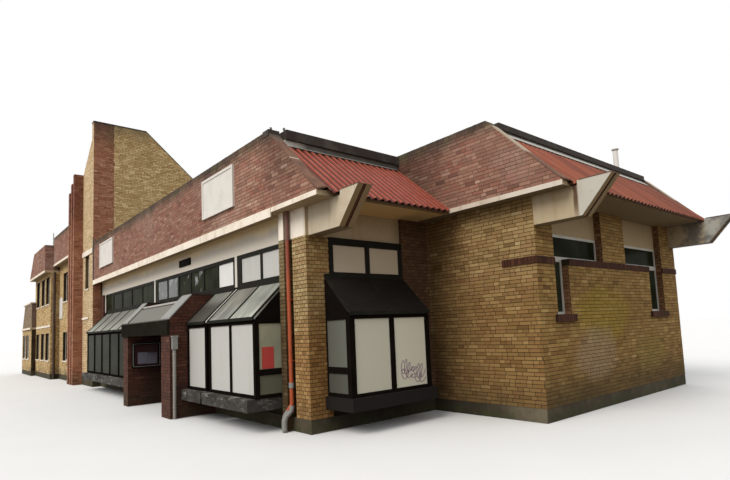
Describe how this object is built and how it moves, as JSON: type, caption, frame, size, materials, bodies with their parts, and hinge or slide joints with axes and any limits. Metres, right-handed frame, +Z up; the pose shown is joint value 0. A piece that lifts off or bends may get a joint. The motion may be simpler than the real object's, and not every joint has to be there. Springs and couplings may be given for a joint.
{
  "type": "railway station building",
  "caption": "Brick station hall with raised parapets, glazed bays, concrete brackets, a stair tower and a two-storey side wing, hollow with real walls and floors.",
  "frame": {"origin": "centre of the bounding box, at the level the building stands on", "axes": "+X along the front from the side wing to the hall's end, +Y into the building from the street front, +Z up"},
  "size_m": [36.871, 11.876, 11.45],
  "materials": {
    "yellow_brick": "fired brick, weathered",
    "red_brick": "fired brick, weathered",
    "concrete": "painted concrete, stained",
    "plain_concrete": "bare concrete",
    "render": "plastered",
    "roofing": "bitumen felt",
    "tile": "coated sheet tiles",
    "white_frame": "powder coat",
    "dark_frame": "powder coat",
    "white_sheet": "satin",
    "glass": "dark, reflective",
    "black_sheet": "satin",
    "grey_sheet": "galvanised grey",
    "red_paint": "matt"
  },
  "bodies": {
    "root": {"annex_bands": "red_brick", "annex_plates": "plain_concrete", "annex_walls": "yellow_brick", "back_wall": "yellow_brick", "bay_frames": "dark_frame", "bay_roofs": "dark_frame", "bay_sills": "plain_concrete", "beam_vent": "black_sheet", "brackets": "concrete", "brick_parapets": "red_brick", "concrete_beams": "concrete", "corner_end_wall": "yellow_brick", "corner_front_wall": "yellow_brick", "display_case": "dark_frame", "door_glass": "glass", "door_screens": "dark_frame", "downpipes": "red_paint", "end_copings": "black_sheet", "far_bands": "red_brick", "far_front_wall": "yellow_brick", "flat_roof": "roofing", "ground_slab": "plain_concrete", "hall_glass": "glass", "hall_piers": "yellow_brick", "light_frames": "dark_frame", "low_walls": "yellow_brick", "mid_bands": "red_brick", "mid_front_wall": "yellow_brick", "porch_fascia": "black_sheet", "porch_lamp": "grey_sheet", "porch_roof": "roofing", "porch_walls": "red_brick", "roof_plate": "concrete", "side_back_wall": "yellow_brick", "side_left_wall": "yellow_brick", "side_roof_plates": "plain_concrete", "side_roofs": "roofing", "side_slab": "plain_concrete", "string_course": "red_brick", "tile_slopes": "tile", "tower_back_wall": "yellow_brick", "tower_fins": "red_brick", "tower_front_wall": "yellow_brick", "tower_gable": "yellow_brick", "tower_left_wall": "yellow_brick", "tower_roof": "roofing", "tower_trims": "render", "upper_floor": "plain_concrete", "upstand_walls": "render", "white_panels": "white_sheet", "window_frames": "white_frame", "window_glass": "glass"}
  },
  "joints": []
}
